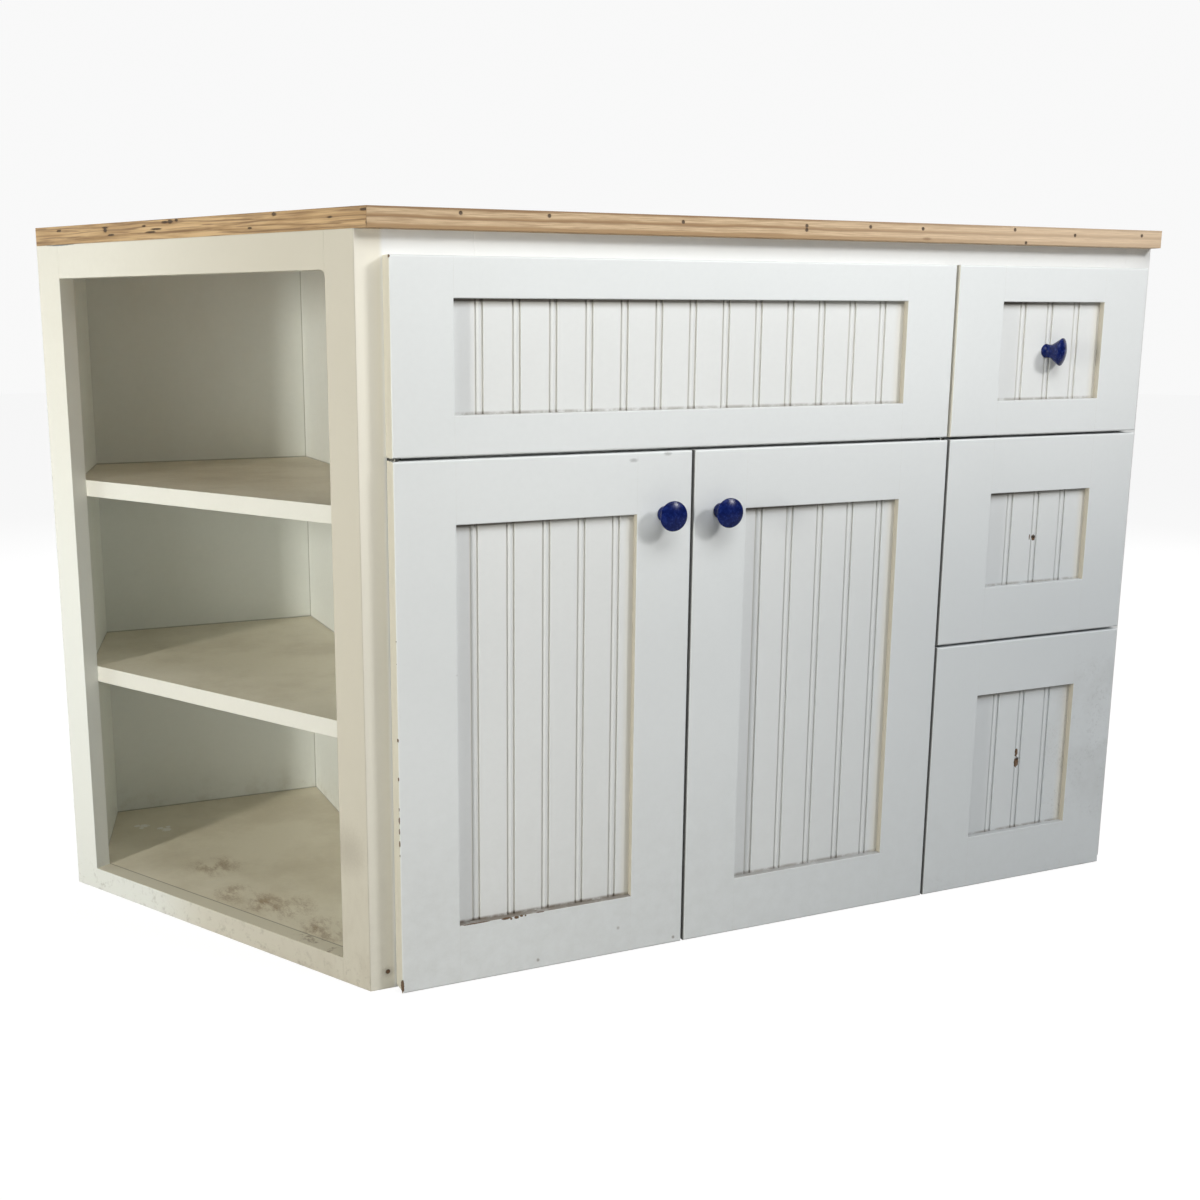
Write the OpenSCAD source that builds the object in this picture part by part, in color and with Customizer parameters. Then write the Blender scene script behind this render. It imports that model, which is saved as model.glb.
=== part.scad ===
// Kitchen island unit: an open shelf end on an angled face, a space behind two doors, and three drawers.
// Drawn with the front face of the face frame on y = 0 and its left corner on x = 0, then moved so that
// the origin is the centre of the whole unit's base. Millimetres, +Z up, the front faces -Y.

/* [Carcass] */
// Width of the front face
body_w = 1000; // [900:1:1300]
// Height of the carcass under the top board
body_h = 775; // [720:1:900]
// Depth of the carcass from face frame to back
body_d = 610; // [560:1:800]
// Length of the angled face
angled_w = 498; // [440:1:540]
// Angle between the angled face and the line of the front
angled_turn = 60; // [55:1:65]
// Angle by which the left end leans in towards the back
end_slant = 12.5; // [0:0.5:18]
// Thickness of ends, partitions, decks and shelves
panel_t = 19; // [16:0.5:22]
// Thickness of the back
back_t = 12; // [6:0.5:18]
// From the front corner to the open end's right side
partition_x = 103; // [80:1:150]
// Depth of the strips that tie the carcass together at the top
stretcher_w = 90; // [60:1:120]

/* [Top board] */
// Thickness of the top board
top_t = 20; // [18:0.5:38]
// Overhang of the top board past the face frame
top_overhang = 15; // [5:1:40]
// Thickness of the lipping strips on the top board's edges
lipping_t = 12; // [6:0.5:15]

/* [Open shelves] */
// Height of the lower shelf's top
lower_shelf_z = 281; // [200:1:330]
// Height of the upper shelf's top
upper_shelf_z = 507; // [440:1:600]

/* [Door space shelf] */
// Height of the loose shelf's underside
cabinet_shelf_z = 290; // [200:1:400]
// How far the loose shelf stays behind the face frame
cabinet_shelf_setback = 150; // [60:1:250]
// Gap at each end of the loose shelf
cabinet_shelf_play = 1; // [0.5:0.1:3]
// Diameter of a shelf pin
shelf_pin_d = 5; // [4:0.5:7]
// Length of a shelf pin inside the panel
shelf_pin_in = 10; // [6:0.5:12]
// Length of a shelf pin under the shelf
shelf_pin_out = 9; // [6:0.5:14]
// From the shelf's front or back edge to its pins
shelf_pin_edge = 50; // [30:1:90]

/* [Face frames] */
// Thickness of both face frames
frame_t = 19; // [16:0.5:25]
// Width of the middle and right stiles
stile_w = 38; // [34:1:48]
// Width of the stiles of the angled frame
angled_stile_w = 39; // [32:1:50]
// Width of the top rails
top_rail_w = 37; // [32:1:50]
// Width of the bottom rails, which is the height of the decks
bottom_rail_w = 27; // [24:1:40]
// Rounding in the upper right corner of the angled opening
opening_round = 6; // [2:0.5:12]
// Width of the rails between doors and drawers
cross_rail_w = 38; // [32:1:46]

/* [Fronts] */
// Thickness of doors and drawer fronts
front_t = 19; // [18:0.5:22]
// Gap between neighbouring fronts
front_gap = 3; // [2.9:0.1:5]
// Gap between a moving front's back and the face frame
stand_off = 1.5; // [1.3:0.1:2.5]
// From the front corner to the left door
fronts_left = 28; // [20:1:40]
// Frame that shows above the fronts
fronts_top = 24; // [16:1:30]
// Gap under the doors and the bottom drawer
floor_gap = 1; // [1:0.5:6]
// Width of a door
door_w = 332; // [300:0.5:340]
// Height of the false front and the top drawer front
top_front_h = 192; // [160:1:210]
// Height of the middle drawer front
middle_front_h = 242; // [200:1:270]
// Width of the frame that shows right of the drawer fronts
fronts_right = 21.5; // [16:0.5:28]
// Glue line between the members of a front, a drawer box or the top board
glue_line = 0.05; // [0.03:0.01:0.1]
// Rounding of the fronts' outer edges
edge_round = 2; // [1:0.5:3]
// Rounding of the front frames' corners along their openings
inner_round = 1; // [0.5:0.5:2]

/* [Front frames and beaded panels] */
// Width of the front frames' members
member_w = 65; // [50:1:72]
// Width of the rails on the false front and the top drawer
shallow_rail_w = 40; // [32:1:50]
// Depth of the panel's face behind the frame's face
recess = 7; // [5:0.5:8]
// Thickness of the beaded panel
panel_board_t = 6; // [5:0.5:7]
// Depth of the groove that holds the panel
groove_depth = 9; // [6:0.5:12]
// Side play of the panel in its groove
groove_play = 0.1; // [0.05:0.05:0.3]
// Room between the panel's edge and the groove's bottom
groove_room = 1; // [0.5:0.1:2]
// Distance between the middles of two beads
bead_pitch = 40; // [30:0.5:60]
// Radius of a bead's crown
bead_r = 4.2; // [3:0.1:6]
// Depth of the two grooves beside a bead
bead_groove_d = 1.8; // [1:0.1:2.5]
// Half the width of the cut that leaves a bead standing
bead_half_w = 4.9; // [4.9:0.1:7]

/* [Knobs] */
// Diameter of a knob's cap
knob_d = 32; // [26:0.5:38]
// How far a knob stands out
knob_out = 25; // [22:0.5:30]
// Diameter of a knob's foot
knob_foot_d = 17; // [13:0.5:20]
// Height of the straight part of a knob's foot
knob_foot_h = 2.5; // [1:0.5:4]
// Diameter of a knob's neck
knob_neck_d = 15; // [11:0.5:16]
// Height at which the cap starts to flare out
knob_flare = 10; // [8:0.5:13]
// Thickness of the cap's rim
knob_rim = 3; // [2:0.5:5]
// Height of the cap's dome over its rim
knob_dome = 3.4; // [2:0.2:4]
// Diameter of a knob's screw
knob_screw_d = 4; // [3.5:0.5:5]
// Diameter of a knob screw's head
knob_screw_head_d = 9; // [8:0.5:11]
// Height of a knob screw's head
knob_screw_head_h = 2.4; // [1.5:0.1:3]
// Length of a knob screw inside the knob
knob_screw_in = 12; // [8:0.5:14]

/* [Door pivots] */
// From the door's edge to the pivot
pivot_in = 5; // [4.5:0.1:5]
// From the door's face back to the pivot
pivot_back = 5.5; // [5.2:0.1:5.5]
// Diameter of a pivot pin
pin_d = 4; // [3.5:0.1:4.2]
// Running play of the pin in its bush, on the radius
pin_play = 0.05; // [0.02:0.01:0.1]
// Diameter of a bush
bush_d = 6; // [5.6:0.1:6.4]
// Length of a bush
bush_len = 12; // [8:0.5:16]
// Width of a bracket's arm
arm_w = 6.4; // [6:0.1:6.6]
// Thickness of a bracket
bracket_t = 2; // [1.6:0.1:2.1]
// Width of a bracket's plate
plate_w = 14; // [13.5:0.5:18]
// From the pivot to the middle of its plate, which lies behind the door
plate_in = 3; // [0:0.1:3.4]
// Height of a bracket's plate
plate_h = 45; // [36:1:60]
// Gap between an arm and its door
arm_gap = 0.3; // [0.2:0.05:0.4]
// Height of the pocket over the lower arm
pocket_h = 3; // [2.8:0.1:4]
// Diameter of a bracket screw
bracket_screw_d = 3.5; // [3:0.1:4]
// Length of a bracket screw
bracket_screw_len = 15; // [12:1:18]

/* [Catches] */
// Width of a magnetic catch
catch_w = 40; // [30:1:50]
// Height of a magnetic catch
catch_h = 15; // [12:0.5:18]
// Depth of a magnetic catch
catch_d = 17; // [14:0.5:19]
// Gap between a catch and its strike plate
catch_gap = 0.3; // [0.2:0.05:0.4]
// Width of a strike plate
strike_w = 30; // [24:1:40]
// Height of a strike plate
strike_h = 12; // [10:0.5:14]
// Thickness of a strike plate
strike_t = 1; // [0.8:0.1:1.1]
// From the middle gap to a catch
catch_side = 12; // [8:1:30]

/* [False front fixing] */
// Width of a fixing batten
batten_w = 38; // [30:1:50]
// Thickness of a fixing batten
batten_t = 19; // [15:0.5:22]
// From the false front's end to a batten
batten_in = 100; // [70:1:200]
// How far a batten laps a rail of the face frame
batten_lap = 19; // [15:1:30]
// Diameter of a batten screw
batten_screw_d = 4; // [3.5:0.1:5]
// Bite of a batten screw in the false front
batten_screw_bite = 12; // [8:0.5:14]

/* [Drawers] */
// Length of a drawer box
box_len = 470; // [400:1:500]
// Thickness of a drawer box's boards
box_t = 15; // [12:0.5:16]
// Gap at each side of a drawer box
box_side_gap = 3; // [2:0.5:5]
// Gap under a drawer box
box_lift = 12; // [8:1:16]
// Gap over a drawer box
box_head = 30; // [24:1:36]
// Thickness of a drawer's bottom
box_bottom_t = 6; // [4:0.5:7]
// Height of the bottom's groove over the box's lower edge
box_bottom_up = 10; // [8:0.5:16]
// Depth of the bottom's groove
box_bottom_groove = 6; // [4:0.5:7]
// Play of the bottom in its groove
box_bottom_play = 0.2; // [0.1:0.05:0.4]
// Height of a runner
runner_h = 12; // [10:0.5:16]
// Play over, under and beside a runner
runner_play = 0.4; // [0.2:0.05:0.6]
// Depth of the runner's groove in the box's side
runner_groove = 7; // [5:0.5:7.5]
// Height of the strip that packs a runner out
packer_h = 60; // [40:1:80]
// Thickness of a drawer's stop block
stop_t = 12; // [10:0.5:16]
// Width of a drawer's stop block
stop_w = 40; // [30:1:60]
// How far a stop block rises behind the rail
stop_catch = 8; // [6:0.5:10]
// How far a stop block laps the box's back
stop_lap = 40; // [30:1:60]
// Gap between stop block and rail with the drawer out
stop_gap = 0.5; // [0.3:0.1:1]

/* [Hidden] */
$fn = 48;

// Colours
paint = "whitesmoke";
cream = "antiquewhite";
plywood = "burlywood";
bare_wood = "tan";
knob_blue = "royalblue";
metal = "silver";

// Directions in plan
face_dir = 180 - angled_turn;
in_dir = 90 - angled_turn;
end_dir = 90 - end_slant;
mitre = frame_t / tan((180 - angled_turn) / 2);

// Plan geometry of the open end
function along(p, a, k) = [p[0] + k * cos(a), p[1] + k * sin(a)];
function meet(p, a, q, b) =
    along(p, a, ((q[0] - p[0]) * sin(b) - (q[1] - p[1]) * cos(b)) / sin(b - a));
inner_back = body_d - back_t;
face_end = along([0, 0], face_dir, angled_w);
frame_back = along([0, 0], in_dir, frame_t);
frame_corner = meet(frame_back, face_dir, [0, frame_t], 0);
end_outer = along(face_end, in_dir, frame_t);
end_inner = along(end_outer, end_dir - 90, panel_t);
end_front = meet(end_inner, end_dir, frame_back, face_dir);
end_back_inner = meet(end_inner, end_dir, [0, inner_back], 0);
end_back_outer = meet(end_outer, end_dir, [0, inner_back], 0);
back_corner = meet(end_outer, end_dir, [0, body_d], 0);

// Front face, left to right
left_stile_w = partition_x + panel_t;
door_gap_x = fronts_left + door_w + front_gap / 2;
drawers_x = fronts_left + 2 * door_w + 2 * front_gap;
drawer_front_w = body_w - fronts_right - drawers_x;
middle_x = drawers_x - front_gap / 2;
middle_left = middle_x - stile_w / 2;
middle_right = middle_x + stile_w / 2;
right_stile_x = body_w - stile_w;
drawer_partition_x = middle_x - panel_t / 2;
right_end_x = body_w - panel_t;

// Front face, bottom to top
fronts_top_z = body_h - fronts_top;
top_front_z = fronts_top_z - top_front_h;
upper_gap_z = top_front_z - front_gap / 2;
door_h = top_front_z - front_gap - floor_gap;
middle_front_z = top_front_z - front_gap - middle_front_h;
lower_gap_z = middle_front_z - front_gap / 2;
bottom_front_h = middle_front_z - front_gap - floor_gap;
top_rail_z = body_h - top_rail_w;
upper_rail_z = upper_gap_z - cross_rail_w / 2;
lower_rail_z = lower_gap_z - cross_rail_w / 2;

// Front faces of fixed and moving fronts
fixed_y = -front_t;
moving_y = -front_t - stand_off;

// Knob places
knob_in = member_w / 2;
knob_z = floor_gap + door_h - member_w - 1;

// Drawer openings and boxes: front's bottom, front's height, opening's bottom, opening's top, rail width
top_drawer = [top_front_z, top_front_h, upper_rail_z + cross_rail_w, top_rail_z, shallow_rail_w];
middle_drawer = [middle_front_z, middle_front_h, lower_rail_z + cross_rail_w, upper_rail_z, member_w];
bottom_drawer = [floor_gap, bottom_front_h, bottom_rail_w, lower_rail_z, member_w];
drawers = [top_drawer, middle_drawer, bottom_drawer];
function box_z(d) = d[2] + box_lift;
function box_h(d) = d[3] - d[2] - box_lift - box_head;
function runner_z(d) = box_z(d) + box_h(d) / 2;
box_x = middle_right + box_side_gap;
box_w = right_stile_x - middle_right - 2 * box_side_gap;
box_front_y = -stand_off;
box_back_y = box_front_y + box_len;
stop_y = box_back_y - box_t - stop_t;
runner_len = box_back_y - frame_t;
drawer_travel = stop_y - frame_t - stop_gap;
echo(drawer_travel = drawer_travel);

// Pivots
left_pivot = [fronts_left + pivot_in, moving_y + pivot_back];
right_pivot = [fronts_left + 2 * door_w + front_gap - pivot_in, moving_y + pivot_back];
door_top_z = floor_gap + door_h;
lower_arm_z = floor_gap + pocket_h - arm_gap - bracket_t;
upper_arm_z = door_top_z + arm_gap;
plate_screws = [plate_h * 0.45, plate_h * 0.8];
hole_play = 0.02;
thin_end = 0.3;
screw_play = 0.05;
cut = 1;

// Whole unit's box
knob_tip_y = moving_y - knob_out;
origin = [(face_end[0] + body_w) / 2, (knob_tip_y + body_d) / 2];
echo(origin = origin, back_corner = back_corner, door_h = door_h, bottom_front_h = bottom_front_h);

module placed() translate([-origin[0], -origin[1], 0]) children();

// ---- carcass ----

module board(points, z, t) translate([0, 0, z]) linear_extrude(t) polygon(points);

// Plan of the top board, k in from every edge but the back, from the front corner round to the face's end
function top_plan(k) =
    let (front = [body_w - k, k - top_overhang], face = along([0, 0], in_dir, k),
        end = along(face_end, end_dir - 90, k))
    [meet(face, face_dir, front, 0), front, [front[0], body_d], meet(end, end_dir, [0, body_d], 0),
        meet(face, face_dir, end, end_dir)];

// A mitred strip along one edge of the top board
module lipping(i, j) {
    outer = top_plan(0);
    inner = top_plan(lipping_t - glue_line);
    step = glue_line * (outer[j] - outer[i]) / norm(outer[j] - outer[i]);
    board([outer[i] + step, outer[j] - step, inner[j] - step, inner[i] + step], body_h, top_t);
}

module top_board()
    color(plywood) {
        board(top_plan(lipping_t), body_h, top_t);
        lipping(0, 1);
        lipping(1, 2);
        lipping(3, 4);
        lipping(4, 0);
    }

module bracket_mortises(p) {
    for (z = [lower_arm_z, upper_arm_z + bracket_t - plate_h])
        translate([plate_x(p) - plate_w / 2, -cut, z]) cube([plate_w, bracket_t + cut, plate_h]);
    for (s = bracket_screw_places(p))
        translate(s) rotate([-90, 0, 0]) cylinder(d = bracket_screw_d + 2 * screw_play, h = frame_t);
}

module front_left_stile()
    color(paint) difference() {
        board([[0, 0], [left_stile_w, 0], [left_stile_w, frame_t], frame_corner], 0, body_h);
        bracket_mortises(left_pivot);
    }

module front_middle_stile()
    color(paint) difference() {
        translate([middle_left, 0, bottom_rail_w])
            cube([stile_w, frame_t, top_rail_z - bottom_rail_w]);
        bracket_mortises(right_pivot);
    }

module front_right_stile()
    color(paint) translate([right_stile_x, 0, 0]) cube([stile_w, frame_t, body_h]);

module rail(x0, x1, z, w) translate([x0, 0, z]) cube([x1 - x0, frame_t, w]);

module front_top_rail()
    color(paint) rail(left_stile_w, right_stile_x, top_rail_z, top_rail_w);

module front_bottom_rail()
    color(paint) difference() {
        rail(left_stile_w, right_stile_x, 0, bottom_rail_w);
        bracket_mortises(right_pivot);
    }

module front_cross_rails()
    color(paint) {
        rail(left_stile_w, middle_left, upper_rail_z, cross_rail_w);
        for (z = [upper_rail_z, lower_rail_z]) rail(middle_right, right_stile_x, z, cross_rail_w);
    }

// Points on the angled face: s runs from the front corner, depth runs into the unit
function on_face(s, depth) = along(along([0, 0], face_dir, s), in_dir, depth);

module angled_frame_stiles()
    color(cream) {
        board([[0, 0], frame_corner, on_face(angled_stile_w, frame_t), on_face(angled_stile_w, 0)],
            0, body_h);
        board([on_face(angled_w - angled_stile_w, 0), on_face(angled_w - angled_stile_w, frame_t),
            end_outer, face_end], 0, body_h);
    }

// Drawn upright on the face, x along it and y up, and run in by the frame's thickness
module angled_frame_rails() {
    rail_len = angled_w - 2 * angled_stile_w;
    color(cream) rotate([0, 0, face_dir]) rotate([90, 0, 0]) linear_extrude(frame_t)
        translate([angled_stile_w, 0]) {
            square([rail_len, bottom_rail_w]);
            translate([0, top_rail_z]) square([rail_len, top_rail_w]);
            translate([0, top_rail_z - opening_round]) difference() {
                square([opening_round, opening_round + cut]);
                translate([opening_round, 0]) circle(opening_round - thin_end);
            }
        }
}

module left_end_panel()
    color(cream) board([end_outer, end_front, end_back_inner, end_back_outer], 0, body_h);

module upright(x) translate([x, frame_t, 0]) cube([panel_t, inner_back - frame_t, body_h]);

// Holes for the loose shelf's pins, in the faces of the two partitions
pin_places = [frame_t + cabinet_shelf_setback + shelf_pin_edge, inner_back - shelf_pin_edge];
module shelf_pin_row(x, play, length)
    for (y = pin_places)
        translate([x, y, cabinet_shelf_z - shelf_pin_d / 2])
            rotate([0, 90, 0]) cylinder(d = shelf_pin_d + 2 * play, h = length);

module shelf_partition()
    color(cream) difference() {
        upright(partition_x);
        shelf_pin_row(left_stile_w - shelf_pin_in, hole_play, shelf_pin_in + cut);
    }

module drawer_partition()
    color(bare_wood) difference() {
        upright(drawer_partition_x);
        shelf_pin_row(drawer_partition_x - cut, hole_play, shelf_pin_in + cut);
    }

module right_end_panel() color(paint) upright(right_end_x);

module back_panel()
    color(cream) board([end_back_outer, [body_w, inner_back], [body_w, body_d], back_corner], 0, body_h);

module floor_board(x0, x1)
    translate([x0, frame_t, bottom_rail_w - panel_t]) cube([x1 - x0, inner_back - frame_t, panel_t]);

module main_decks()
    color(bare_wood) {
        floor_board(left_stile_w, drawer_partition_x);
        floor_board(drawer_partition_x + panel_t, right_end_x);
    }

module open_shelf(top_z)
    board([end_front, frame_corner, [partition_x, frame_t], [partition_x, inner_back], end_back_inner],
        top_z - panel_t, panel_t);

module open_deck() color(bare_wood) open_shelf(bottom_rail_w);

module upper_open_shelf() color(bare_wood) open_shelf(upper_shelf_z);

module lower_open_shelf() color(bare_wood) open_shelf(lower_shelf_z);

module top_stretchers()
    color(bare_wood)
        for (y = [frame_t, inner_back - stretcher_w],
            x = [[left_stile_w, drawer_partition_x], [drawer_partition_x + panel_t, right_end_x]])
            translate([x[0], y, body_h - panel_t]) cube([x[1] - x[0], stretcher_w, panel_t]);

module cabinet_shelf()
    color(bare_wood)
        translate([left_stile_w + cabinet_shelf_play, frame_t + cabinet_shelf_setback, cabinet_shelf_z])
            cube([drawer_partition_x - left_stile_w - 2 * cabinet_shelf_play,
                inner_back - frame_t - cabinet_shelf_setback - cabinet_shelf_play, panel_t]);

module shelf_pins()
    color(metal) {
        shelf_pin_row(left_stile_w - shelf_pin_in, 0, shelf_pin_in + shelf_pin_out);
        shelf_pin_row(drawer_partition_x - shelf_pin_out, 0, shelf_pin_in + shelf_pin_out);
    }

// ---- framed fronts with beaded panels, drawn with the lower left corner of the face on the origin ----

module eased_section(w, t, r) {
    translate([r, 0]) square([w - 2 * r, t]);
    translate([0, r]) square([w, t - r]);
    for (x = [r, w - r]) translate([x, r]) circle(r);
}

module upright_bar(w, h, r) linear_extrude(h) eased_section(w, front_t, r);

module level_bar(w, h, r)
    translate([w, 0, 0]) rotate([0, -90, 0]) linear_extrude(w) eased_section(h, front_t, r);

module eased_slab(w, h)
    intersection() {
        upright_bar(w, h, edge_round);
        level_bar(w, h, edge_round);
    }

module panel_slot(w, h, rail_w)
    translate([member_w - groove_depth, recess - groove_play, rail_w - groove_depth])
        cube([w - 2 * (member_w - groove_depth), panel_board_t + 2 * groove_play,
            h - 2 * (rail_w - groove_depth)]);

module between(in, w, h, y, t) translate([in, y, 0]) cube([w - 2 * in, t, h]);

// What is taken off a member's front corner along the opening; the member lies at -x, or with side = -1 at +x
module inner_easing(side, length)
    linear_extrude(length) difference() {
        translate([side > 0 ? -inner_round : -cut, -cut]) square(inner_round + cut);
        translate([-side * inner_round, inner_round]) circle(inner_round);
    }

// Two stiles the full height, with two rails whose tongues fill the stiles' grooves; the joints are flush
module front_frame(w, h, rail_w) {
    slot_y = recess - groove_play;
    slot_t = panel_board_t + 2 * groove_play;
    for (side = [1, -1]) {
        x = side > 0 ? 0 : w - member_w;
        difference() {
            intersection() {
                eased_slab(w, h);
                translate([x, 0, 0]) cube([member_w, front_t, h]);
            }
            translate([side > 0 ? member_w - groove_depth : x - cut, slot_y, -cut])
                cube([groove_depth + cut, slot_t, h + 2 * cut]);
            translate([side > 0 ? member_w : x, 0, rail_w]) inner_easing(side, h - 2 * rail_w);
        }
    }
    for (side = [1, -1]) {
        z = side > 0 ? 0 : h - rail_w;
        difference() {
            intersection() {
                eased_slab(w, h);
                translate([0, 0, z]) cube([w, front_t, rail_w]);
                union() {
                    between(member_w + glue_line, w, h, 0, front_t);
                    between(member_w - groove_depth + glue_line, w, h, recess, panel_board_t);
                }
            }
            panel_slot(w, h, rail_w);
            translate([w - member_w, 0, side > 0 ? rail_w : z]) rotate([0, -90, 0])
                inner_easing(side, w - 2 * member_w);
        }
    }
}

// One board with rounded beads, each between two grooves, spread evenly from the middle
module beaded_panel(w, h, rail_w) {
    in = member_w - groove_depth + groove_room;
    bead_n = floor((w / 2 - member_w) / bead_pitch);
    translate([in, recess, rail_w - groove_depth + groove_room])
        linear_extrude(h - 2 * (rail_w - groove_depth + groove_room))
            difference() {
                square([w - 2 * in, panel_board_t]);
                for (i = [-bead_n : bead_n])
                    translate([w / 2 - in + i * bead_pitch, 0]) difference() {
                        translate([-bead_half_w, -cut]) square([2 * bead_half_w, bead_groove_d + cut]);
                        translate([0, bead_r]) circle(bead_r);
                    }
            }
}

module knob_hole(x, z) translate([x, -cut, z]) rotate([-90, 0, 0])
    cylinder(d = knob_screw_d + 2 * screw_play, h = front_t + 2 * cut);

// ---- knobs ----

// Turned profile: foot, waisted neck, and a cap that flares out to a thin round rim under a low dome
module knob_profile() {
    foot_r = knob_foot_d / 2;
    rim = [(knob_d - knob_rim) / 2, knob_out - knob_dome - knob_rim / 2];
    dome_r = (rim[0] * rim[0] + knob_dome * knob_dome) / (2 * knob_dome) + knob_rim / 2;
    // The flare's straight side runs from the neck's top to where it touches the rim
    side = rim - [foot_r, knob_flare];
    side_dir = atan2(side[1], side[0]) - asin(knob_rim / 2 / norm(side));
    touch = along([foot_r, knob_flare], side_dir, sqrt(side * side - knob_rim * knob_rim / 4));
    waist_h = (knob_flare - knob_foot_h) / 2;
    waist_in = (knob_foot_d - knob_neck_d) / 2;
    waist_r = (waist_h * waist_h + waist_in * waist_in) / (2 * waist_in);
    difference() {
        union() {
            square([foot_r, knob_flare]);
            polygon([[0, knob_flare], [foot_r, knob_flare], touch, rim, [rim[0], rim[1] + knob_rim / 2],
                [0, rim[1] + knob_rim / 2]]);
            translate(rim) circle(knob_rim / 2, $fn = 24);
            intersection() {
                translate([0, knob_out - dome_r]) circle(dome_r, $fn = 96);
                translate([0, rim[1]]) square([rim[0] + knob_rim * 0.3, knob_out]);
            }
        }
        translate([knob_neck_d / 2 + waist_r, knob_flare - waist_h]) circle(waist_r, $fn = 72);
        translate([-knob_d, 0]) square([knob_d, knob_out]);
        square([knob_screw_d / 2 + screw_play, knob_screw_in + cut]);
    }
}

module knob(x, y, z)
    color(knob_blue) translate([x, y, z]) rotate([90, 0, 0]) rotate_extrude() knob_profile();

// Screw from the back of the front, with a low round head
module knob_screw(x, y, z, grip)
    color(metal) translate([x, y + grip, z]) rotate([90, 0, 0]) {
        cylinder(d = knob_screw_d, h = grip + knob_screw_in);
        translate([0, 0, -knob_screw_head_h]) cylinder(d = knob_screw_head_d, h = knob_screw_head_h);
    }

// ---- false front ----

false_front_w = 2 * door_w + front_gap;

module false_front_frame()
    color(paint) difference() {
        translate([fronts_left, fixed_y, top_front_z])
            front_frame(false_front_w, top_front_h, shallow_rail_w);
        for (p = batten_screw_places) translate([p[0], -batten_screw_bite, p[1]])
            rotate([-90, 0, 0]) cylinder(d = batten_screw_d + 2 * screw_play, h = batten_screw_bite + cut);
    }

module false_front_panel()
    color(paint) translate([fronts_left, fixed_y, top_front_z])
        beaded_panel(false_front_w, top_front_h, shallow_rail_w);

batten_x = [fronts_left + batten_in + batten_w, fronts_left + false_front_w - batten_in];
batten_z0 = upper_rail_z + cross_rail_w - batten_lap;
batten_z1 = top_rail_z + batten_lap;
batten_screw_z = [(upper_rail_z + cross_rail_w + top_front_z + shallow_rail_w) / 2,
    (top_rail_z + fronts_top_z - shallow_rail_w) / 2];
batten_screw_places = [for (x = batten_x, z = batten_screw_z) [x, z]];

module false_front_battens()
    color(bare_wood) difference() {
        for (x = batten_x) translate([x - batten_w / 2, frame_t, batten_z0])
            cube([batten_w, batten_t, min(batten_z1, body_h - panel_t) - batten_z0]);
        for (p = batten_screw_places) translate([p[0], frame_t - cut, p[1]])
            rotate([-90, 0, 0]) cylinder(d = batten_screw_d + 2 * screw_play, h = batten_t + 2 * cut);
    }

module false_front_screws()
    color(metal) for (p = batten_screw_places)
        translate([p[0], frame_t + batten_t, p[1]]) rotate([90, 0, 0]) {
            cylinder(d = batten_screw_d, h = frame_t + batten_t + batten_screw_bite);
            translate([0, 0, -knob_screw_head_h])
                cylinder(d = knob_screw_head_d, h = knob_screw_head_h);
        }

// ---- drawer runners ----

module packers(x, w)
    for (d = drawers) translate([x, frame_t, runner_z(d) - packer_h / 2])
        cube([w, inner_back - frame_t, packer_h]);

module runner_packers()
    color(bare_wood) {
        packers(drawer_partition_x + panel_t, middle_right - drawer_partition_x - panel_t);
        packers(right_stile_x, right_end_x - right_stile_x);
    }

runner_w = box_side_gap + runner_groove - runner_play;

module drawer_runners()
    color(bare_wood) for (d = drawers, x = [middle_right, right_stile_x - runner_w])
        translate([x, frame_t, runner_z(d) - runner_h / 2]) cube([runner_w, runner_len, runner_h]);

// ---- door pivots ----

function plate_x(p) = p[0] + (p[0] < door_gap_x ? plate_in : -plate_in);

function bracket_screw_places(p) = concat(
    [for (s = plate_screws) [plate_x(p), -cut, lower_arm_z + s]],
    [for (s = plate_screws) [plate_x(p), -cut, upper_arm_z + bracket_t - s]]);

// A plate let into the frame's face, with an arm that reaches out over or under the door's corner
module bracket(p, arm_z, plate_z)
    difference() {
        union() {
            translate([plate_x(p) - plate_w / 2, 0, plate_z]) cube([plate_w, bracket_t, plate_h]);
            translate([p[0] - arm_w / 2, p[1], arm_z]) cube([arm_w, bracket_t - p[1], bracket_t]);
            translate([p[0], p[1], arm_z]) cylinder(d = arm_w, h = bracket_t);
        }
        translate([p[0], p[1], arm_z - cut]) cylinder(d = pin_d + 2 * hole_play, h = bracket_t + 2 * cut);
        for (s = bracket_screw_places(p))
            translate(s) rotate([-90, 0, 0]) {
                cylinder(d = bracket_screw_d + 2 * screw_play, h = frame_t);
                translate([0, 0, cut]) cylinder(d1 = bracket_screw_d + 2 * bracket_t,
                    d2 = bracket_screw_d, h = bracket_t);
            }
    }

module door_brackets()
    color(metal) for (p = [left_pivot, right_pivot]) {
        bracket(p, lower_arm_z, lower_arm_z);
        bracket(p, upper_arm_z, upper_arm_z + bracket_t - plate_h);
    }

module door_pins()
    color(metal) for (p = [left_pivot, right_pivot]) {
        pin_len = bracket_t + arm_gap + bush_len - cut;
        for (z = [lower_arm_z, upper_arm_z + bracket_t - pin_len])
            translate([p[0], p[1], z]) cylinder(d = pin_d, h = pin_len);
    }

module bracket_screws()
    color(metal) for (p = [left_pivot, right_pivot], s = bracket_screw_places(p))
        translate([s[0], 0, s[2]]) rotate([-90, 0, 0]) {
            cylinder(d = bracket_screw_d, h = bracket_screw_len);
            cylinder(d1 = bracket_screw_d + 2 * bracket_t - 2 * screw_play,
                d2 = bracket_screw_d - 2 * screw_play, h = bracket_t);
        }

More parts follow.
